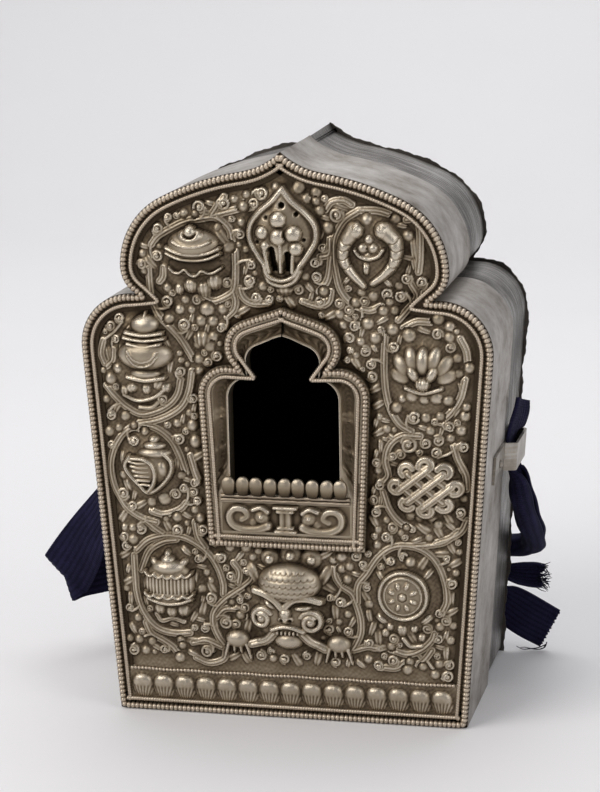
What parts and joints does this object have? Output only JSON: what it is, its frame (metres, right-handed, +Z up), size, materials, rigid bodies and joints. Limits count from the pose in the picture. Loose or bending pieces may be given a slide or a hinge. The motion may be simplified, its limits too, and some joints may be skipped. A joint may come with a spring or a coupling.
{
  "type": "amulet box",
  "caption": "Silver travelling shrine box with a lobed repousse face and window, a rear pan that slides out of the front case, and a navy corduroy strap in riveted side loops",
  "frame": {"origin": "under the middle of the case on its base, midway between the tallest relief and the back plate's rear", "axes": "+Z up towards the point of the case, -Y out of the decorated face, +X to the viewer's right"},
  "size_m": [0.1907, 0.1027, 0.2],
  "materials": {
    "worked_silver": "chased silver, tarnished in the recesses and bright on the highs",
    "plain_silver": "plain silver sheet, hand worked, softly mottled",
    "grey_sheet": "grey tinned sheet with lengthwise scratches",
    "dark_plate": "dark brown oxidised sheet, roughly cut",
    "black_cloth": "matte black cloth lining",
    "navy_cloth": "navy ribbed cotton band"
  },
  "bodies": {
    "front_case": {"face_plate": "worked_silver", "front_wall": "plain_silver", "border_bead_wire": "worked_silver", "border_twist_wire": "worked_silver", "window_frame": "worked_silver", "window_bead_wire": "worked_silver", "window_twist_wire": "worked_silver", "sill_knobs": "worked_silver", "sill_rails": "worked_silver", "sill_panel": "worked_silver", "base_line_wire": "worked_silver", "stop_tabs": "plain_silver", "right_strap_bracket": "plain_silver", "left_strap_bracket": "plain_silver", "bracket_rivets": "plain_silver", "strap_right_stub": "navy_cloth", "strap_left_stub": "navy_cloth", "strap_left_drop": "navy_cloth"},
    "rear_pan": {"pan_wall": "grey_sheet", "back_plate": "dark_plate", "lining": "black_cloth", "strap_right_loop": "navy_cloth", "strap_knot": "navy_cloth", "strap_tail_frayed": "navy_cloth", "strap_tail_cut": "navy_cloth", "strap_back_run": "navy_cloth", "strap_left_return": "navy_cloth"}
  },
  "joints": [
    {"name": "pan_slide", "type": "slide", "parent": "front_case", "child": "rear_pan", "axis": [0, 1, 0], "range_m": [0, 0.018]}
  ]
}
